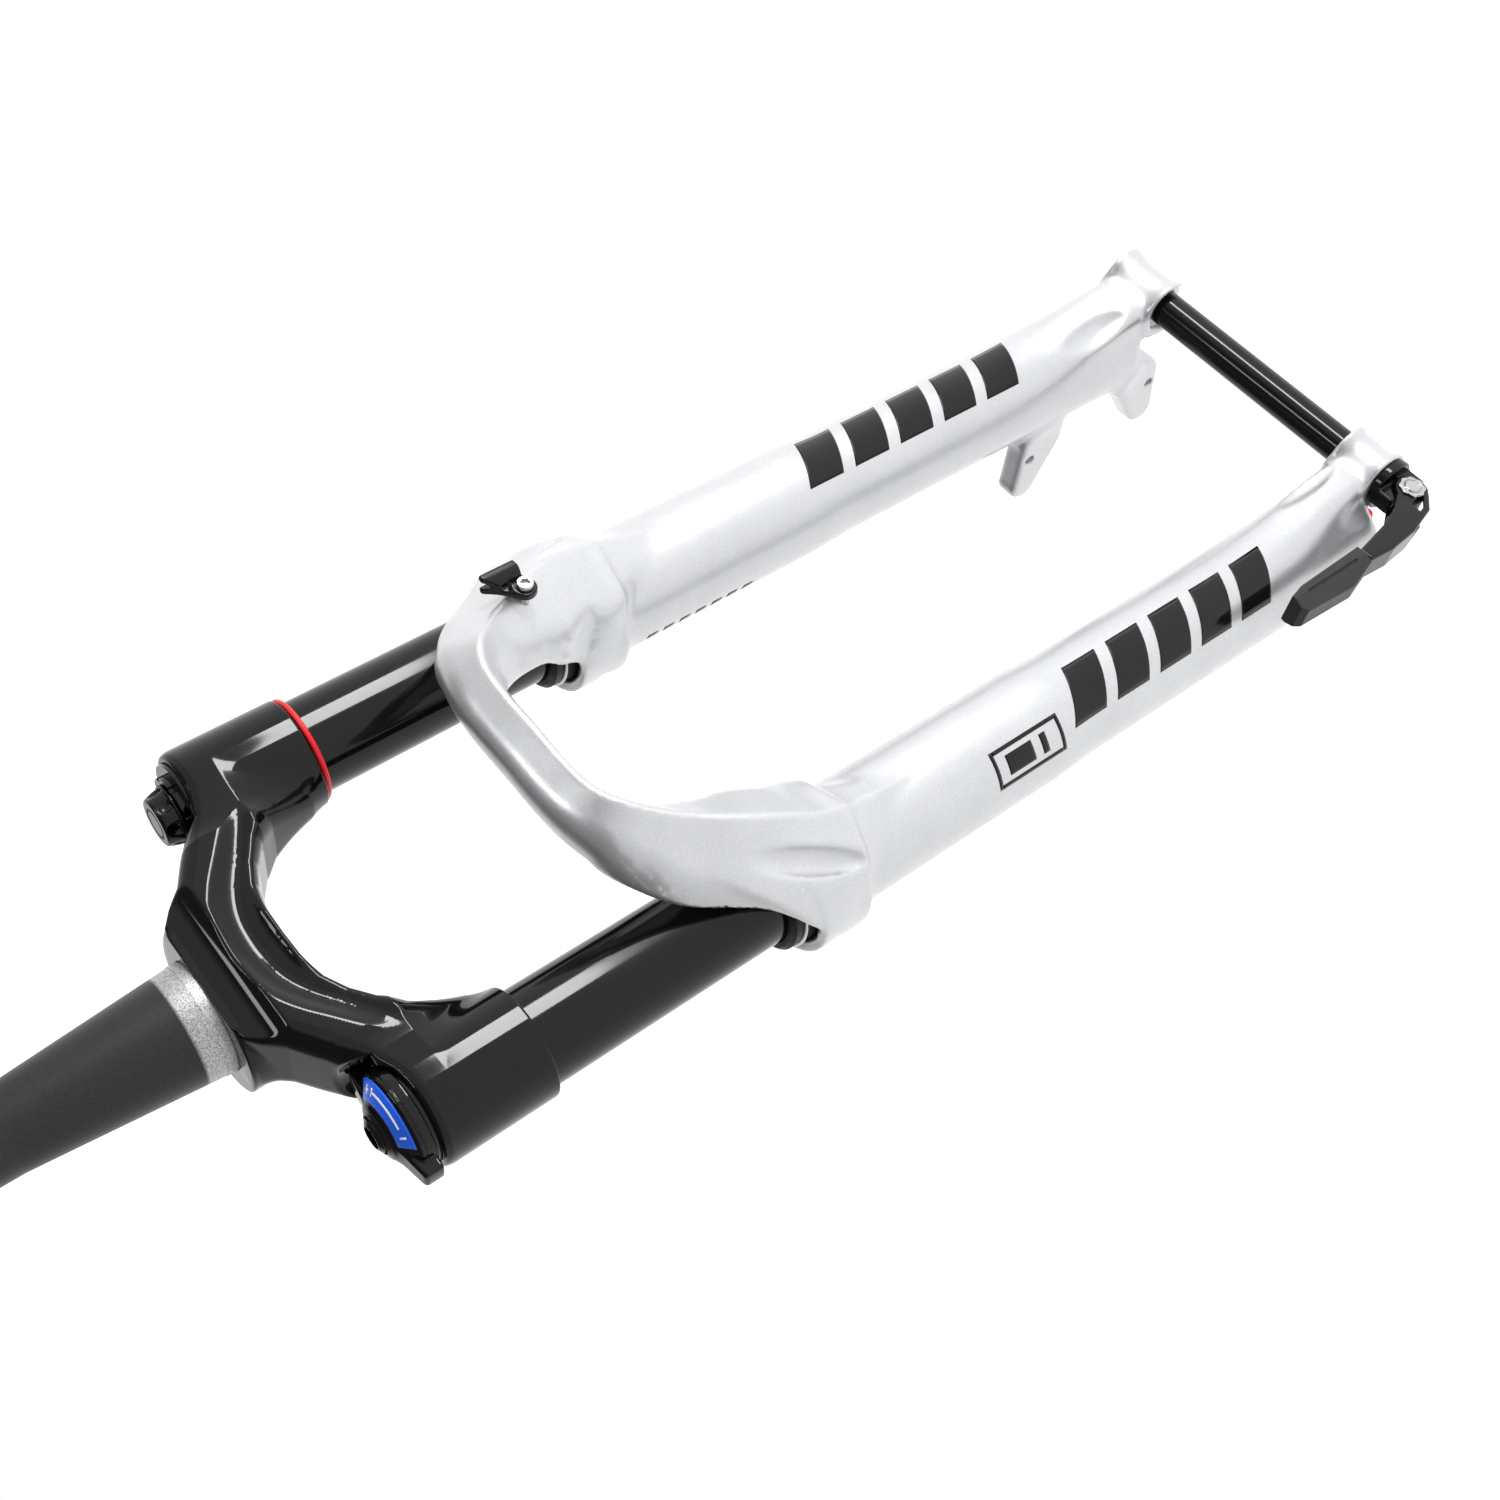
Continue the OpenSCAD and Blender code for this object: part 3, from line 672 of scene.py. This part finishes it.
def steerer_finish():
    """Charcoal steerer, blasted bare at the crown race seat."""
    m, nt, b = material("steerer_finish")
    fine = noise(nt, 1800, 3)
    coarse = noise(nt, 2200, 3, 0.8)
    co = nt.nodes.new("ShaderNodeTexCoord")
    sep = nt.nodes.new("ShaderNodeSeparateXYZ")
    nt.links.new(co.outputs["Object"], sep.inputs["Vector"])
    above = ramp(nt, sep.outputs["Z"], 0.0, 1.0, 0.0092, 0.0104)
    bare = mix(nt, ramp(nt, coarse, 0, 1, 0.35, 0.65), (0.10, 0.10, 0.105), (0.60, 0.60, 0.61))
    coat = mix(nt, ramp(nt, fine, 0, 1), (0.012, 0.012, 0.013), (0.022, 0.022, 0.024))
    nt.links.new(mix(nt, above, bare, coat), b.inputs["Base Color"])
    nt.links.new(ramp(nt, above, 0.85, 0.15, 0, 1), b.inputs["Metallic"])
    nt.links.new(ramp(nt, coarse, 0.34, 0.5), b.inputs["Roughness"])
    b.inputs["IOR"].default_value = 1.35
    bump(nt, fine, b, 0.5, 0.00005)
    return m


M = {
    "silver": finish_of("silver_paint", (0.50, 0.505, 0.52), 0.34, 0.7, 0.25, 0.12, 1500, 0.00002, 0.03,
                        spots=0.3),
    "steerer": steerer_finish(),
    "gloss": finish_of("gloss_black", (0.003, 0.003, 0.0033), 0.06, grain=500, depth=0.000003, ior=1.32),
    "stanchion": finish_of("stanchion_black", (0.003, 0.003, 0.0033), 0.09, grain=500, depth=0.000002,
                           ior=1.32),
    "axle": finish_of("axle_black", (0.004, 0.004, 0.0043), 0.12, grain=700, depth=0.000004, ior=1.34),
    "rubber": finish_of("rubber_black", (0.006, 0.006, 0.0063), 0.5, grain=1200, depth=0.00003, ior=1.3),
    "plastic": finish_of("plastic_black", (0.004, 0.004, 0.0043), 0.18, grain=1200, depth=0.00001, ior=1.34),
    "grip": finish_of("grip_charcoal", (0.020, 0.0205, 0.022), 0.42, grain=1800, depth=0.00004, ior=1.35),
    "steel": finish_of("steel_bright", (0.46, 0.46, 0.47), 0.26, 1.0, depth=0.00001),
    "alloy": finish_of("alloy_bare", (0.66, 0.66, 0.67), 0.32, 1.0, depth=0.00001, stretch=(1, 1, 9)),
    "brass": finish_of("brass_bare", (0.7, 0.52, 0.24), 0.3, 1.0, depth=0.00001),
    "red": finish_of("red_rubber", (0.60, 0.008, 0.015), 0.35, depth=0.00001, ior=1.4),
    "redm": finish_of("red_anodised", (0.6, 0.02, 0.03), 0.28, 0.8, depth=0.00001),
    "blue": finish_of("blue_label", (0.02, 0.13, 0.85), 0.28, 0.1, depth=0.00001, ior=1.4),
    "mark": finish_of("white_mark", (0.85, 0.85, 0.86), 0.4, depth=0.00001, vary=0.04),
    "decal": finish_of("decal_black", (0.004, 0.004, 0.0043), 0.12, depth=0.000004, ior=1.34),
    "foam": finish_of("foam_dark", (0.06, 0.06, 0.06), 0.9, depth=0.0001),
}
SLOT_MAT = {"steerer_black": "steerer", "crown_black": "gloss", "stanchion_black": "stanchion",
            "silver_paint": "silver", "machined_alloy": "alloy", "steel": "steel",
            "steel_black": "rubber", "brass": "brass", "rubber": "rubber", "red_rubber": "red",
            "foam": "foam", "black_plastic": "plastic", "red_plastic": "red", "blue_alloy": "blue",
            "red_alloy": "redm", "axle_black": "axle", "grip_rubber": "grip"}
slots = {s["node"]: s["material_slot"] for s in frame["record"]["subparts"]}
for node, ob in frame["nodes"].items():
    ob.data.materials.clear()
    ob.data.materials.append(M[SLOT_MAT[slots[node]]])


def stand_for(name, field, lo, hi, h, body, node):
    """A finer skin in place of one CAD node, in that node's finish; coarse ones get softer normals."""
    ob = field_mesh(name, field, lo, hi, h, h > COARSE)
    ob.data.materials.append(M[SLOT_MAT[slots[node]]])
    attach(ob, body)
    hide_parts(node)


# ---------------------------------------------------------------- pieces

stand_for("lower_casting_skin", casting, (-98, -70, -515), (98, 50, -104), 1.25, "lowers", "lower_casting")
stand_for("crown_skin", crown, (-93, -37, -78), (93, 32, 2), 0.7, "upper", "fork_crown")
stand_for("dial_skin", dial, (-93, -32, -32), (-45, 16, -19), 0.35, "compression_dial", "compression_knob")
stand_for("valve_cap_skin", cap, (56, -22, -29), (82, 6, -19), 0.3, "air_valve_cap", "valve_cap")
stand_for("foot_dial_skin", foot_dial, (-80, -20, -505), (-58, 4, -488), 0.3, "rebound_dial", "rebound_knob")
stand_for("hose_guide_skin", guide, (47, -66, -165), (67, -54, -143), 0.3, "lowers", "hose_guide")
stand_for("guide_screw_skin", guide_screw, (49, -62, -163), (57, -46, -154), 0.2, "lowers",
          "hose_guide_screw")
stand_for("axle_head_skin", head, (-92, -48, -511), (-71, -20, -483), 0.4, "axle", "axle_head")
stand_for("lever_arm_skin", lever, (-105, -42, -507), (-74, -26, -413), 0.4, "lever", "lever_arm")
stand_for("lever_grip_skin", grip, (-107, -43, -453), (-91, -26, -405), 0.4, "lever", "lever_grip")
stand_for("pin_nut_skin", pin_nut, (-91, -43, -504), (-77, -40, -490), 0.2, "lever", "lever_pin_nut")


# ---------------------------------------------------------------- marks on the surfaces

def patch(name, points, faces, field, h, lift, material_key, body):
    """Thin printed mark that lies on a field's surface, as a closed sliver."""
    V, N = onto(field, np.array(points, F), h, 8)
    n = len(V)
    solid = np.concatenate([V + N * lift, V - N * 0.05])
    quads = [tuple(f) for f in faces] + [tuple(n + i for i in reversed(f)) for f in faces]
    edges = dict.fromkeys((a, b) for f in faces for a, b in zip(f, f[1:] + f[:1]))
    for a, b in edges:
        if (b, a) not in edges:
            quads.append((b, a, n + a, n + b))
    ob = add_mesh(name, solid, quads)
    ob.data.materials.append(M[material_key])
    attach(ob, body)
    return ob


MARK_R = 23.0                  # radius from which a leg's marks drop onto its surface
MARK_LIFT = 0.12


def leg_strip(side, corners, rows, cols):
    """Grid of points over a four-cornered mark; corners are angle about the leg and height."""
    c = np.array(corners, float)
    pts, faces = [], []
    for i in range(rows + 1):
        for j in range(cols + 1):
            s, t = i / rows, j / cols
            a, z = (c[0] * (1 - t) + c[1] * t) * (1 - s) + (c[3] * (1 - t) + c[2] * t) * s
            a = math.radians(a)
            pts.append((side * XL + MARK_R * math.cos(a), YL + MARK_R * math.sin(a), z))
    for i in range(rows):
        for j in range(cols):
            k = i * (cols + 1) + j
            faces.append((k, k + 1, k + cols + 2, k + cols + 1))
    return pts, faces


def leg_mark(name, side, corners, rows=24, cols=10):
    pts, faces = leg_strip(side, corners, rows, cols)
    patch(name, pts, faces, casting, 1.0, MARK_LIFT, "decal", "lowers")


# broad slanted bars down the front of both legs: how many, each one's share of the pitch, the slant
BARS, BAR_SHARE, SLANT = 5, 0.74, 5
for side, name, a0, a1, top, foot in ((-1, "near", -81.0, -140.0, -310.5, -428.0),
                                      (1, "far", -62.0, -123.0, -302.5, -425.0)):
    span = (foot - top) / BARS
    for k in range(BARS):
        z0 = top + span * k
        z1 = z0 + span * BAR_SHARE
        leg_mark(f"leg_bar_{name}_{k}", side,
                 [(a0, z0 - SLANT), (a1, z0 + SLANT), (a1, z1 + SLANT), (a0, z1 - SLANT)])
# framed plain badge on the right leg
B0, B1, Z0, Z1 = -154.0, -116.0, -265.5, -299.5
leg_mark("badge_top", -1, [(B0, Z0), (B1, Z0), (B1, Z0 - 1.6), (B0, Z0 - 1.6)], rows=2)
leg_mark("badge_foot", -1, [(B0, Z1 + 1.6), (B1, Z1 + 1.6), (B1, Z1), (B0, Z1)], rows=2)
leg_mark("badge_side_a", -1, [(B0, Z0 - 1.6), (B0 + 4, Z0 - 1.6), (B0 + 4, Z1 + 1.6), (B0, Z1 + 1.6)], cols=2)
leg_mark("badge_side_b", -1, [(B1 - 4, Z0 - 1.6), (B1, Z0 - 1.6), (B1, Z1 + 1.6), (B1 - 4, Z1 + 1.6)], cols=2)
leg_mark("badge_bar", -1, [(B0 + 9, Z0 - 6), (B1 - 9, Z0 - 6), (B1 - 9, Z0 - 19), (B0 + 9, Z0 - 19)], rows=12)
leg_mark("badge_line", -1, [(B0 + 9, Z0 - 23), (B1 - 9, Z0 - 23), (B1 - 9, Z0 - 26), (B0 + 9, Z0 - 26)],
         rows=3)
# row of small marks inside the left leg
for k in range(7):
    z = -213 - 7.8 * k
    leg_mark(f"inner_mark_{k}", 1, [(156, z), (165, z), (165, z - 4.6), (156, z - 4.6)], rows=4, cols=4)


LABEL_IN, LABEL_OUT = 11.0, 17.0


def label_strip(name, r0, r1, a0, a1, key, lift, rows=4, cols=24):
    """Thin piece on the dial's sloping shoulder, between two radii and two angles."""
    pts, faces = [], []
    for i in range(rows + 1):
        for j in range(cols + 1):
            r, a = blend(r0, r1, i / rows), math.radians(blend(a0, a1, j / cols))
            z = KNOB_Z + SHOULDER_Z - SHOULDER_FALL * (r - SHOULDER_R)
            pts.append((-XL + r * math.cos(a), YL + r * math.sin(a), z))
    for i in range(rows):
        for j in range(cols):
            k = i * (cols + 1) + j
            faces.append((k, k + cols + 1, k + cols + 2, k + 1))
    return patch(name, pts, faces, dial, 0.3, lift, key, "compression_dial")


label = label_strip("dial_label", LABEL_IN, LABEL_OUT, -150, -26, "blue", MARK_LIFT, 8, 60)
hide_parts("compression_label")
for name, r0, r1, a0, a1 in (("label_arc", 13.7, 14.4, -122, -60),
                             ("label_arrow", 12.8, 15.3, -59, -56.5),
                             ("label_minus", 12.9, 15.1, -136, -133),
                             ("label_plus_a", 13.7, 14.4, -48, -39),
                             ("label_plus_b", 12.7, 15.4, -44.8, -42.2)):
    label_strip(name, r0, r1, a0, a1, "mark", 0.2)

# ---------------------------------------------------------------- stage and light

FLOOR_Z, FLOOR_HALF = -0.56, 40   # metres


def sheet(name, corners, glow):
    me = bpy.data.meshes.new(name)
    me.from_pydata(corners, [], [(0, 1, 2, 3)])
    ob = bpy.data.objects.new(name, me)
    bpy.context.scene.collection.objects.link(ob)
    m, nt, b = material(name + "_white")
    b.inputs["Roughness"].default_value = 0.9
    nt.links.new(mix(nt, noise(nt, 3), (0.88, 0.88, 0.88), (0.92, 0.92, 0.92)), b.inputs["Base Color"])
    b.inputs["Emission Color"].default_value = (1, 1, 1, 1)
    b.inputs["Emission Strength"].default_value = glow
    me.materials.append(m)
    return ob


sheet("floor", [(x * FLOOR_HALF, y * FLOOR_HALF, FLOOR_Z)
                         for x, y in ((-1, -1), (1, -1), (1, 1), (-1, 1))], 0.95)

world = bpy.data.worlds.new("studio")
bpy.context.scene.world = world
world.use_nodes = True
wnt = world.node_tree
sky = wnt.nodes.new("ShaderNodeTexCoord")
axes = wnt.nodes.new("ShaderNodeSeparateXYZ")
wnt.links.new(sky.outputs["Generated"], axes.inputs["Vector"])
# white to well above the horizon, dim overhead
wnt.links.new(ramp(wnt, axes.outputs["Z"], 1.0, 0.18, 0.44, 0.62), wnt.nodes["Background"].inputs["Color"])
wnt.nodes["Background"].inputs["Strength"].default_value = 1.0
bpy.context.scene.view_settings.view_transform = "Standard"

# camera at the photo's place, aim and roll
cam_pos = Vector((-0.2917, -0.5398, 0.0958))
right = Vector((-0.6256, -0.1196, -0.7710)).normalized()
ahead = Vector((0.4064, 0.7936, -0.4529)).normalized()
up = right.cross(ahead).normalized()
right = ahead.cross(up).normalized()
cam_data = bpy.data.cameras.new("camera")
cam_data.lens = 44.5
cam_data.sensor_width = 36
cam_data.clip_start = 0.01
cam = bpy.data.objects.new("camera", cam_data)
cam.matrix_world = Matrix.Translation(cam_pos) @ Matrix((right, up, -ahead)).transposed().to_4x4()
bpy.context.scene.collection.objects.link(cam)
bpy.context.scene.camera = cam


def softbox(name, direction, distance, size, power, target=(0.0, -0.02, -0.2)):
    """Rectangular area light at a distance from the target, facing it."""
    d = Vector(direction).normalized()
    data = bpy.data.lights.new(name, "AREA")
    data.shape = "RECTANGLE"
    data.size, data.size_y = size
    data.energy = power
    o = bpy.data.objects.new(name, data)
    o.location = Vector(target) + d * distance
    o.rotation_euler = (-d).to_track_quat("-Z", "Y").to_euler()
    bpy.context.scene.collection.objects.link(o)


softbox("key", up * 1.0 - ahead * 0.5 + right * 0.1, 1.3, (0.7, 0.34), 22)
softbox("fill", -right * 0.9 - ahead * 0.8 + up * 0.2, 1.4, (0.5, 0.16), 3)
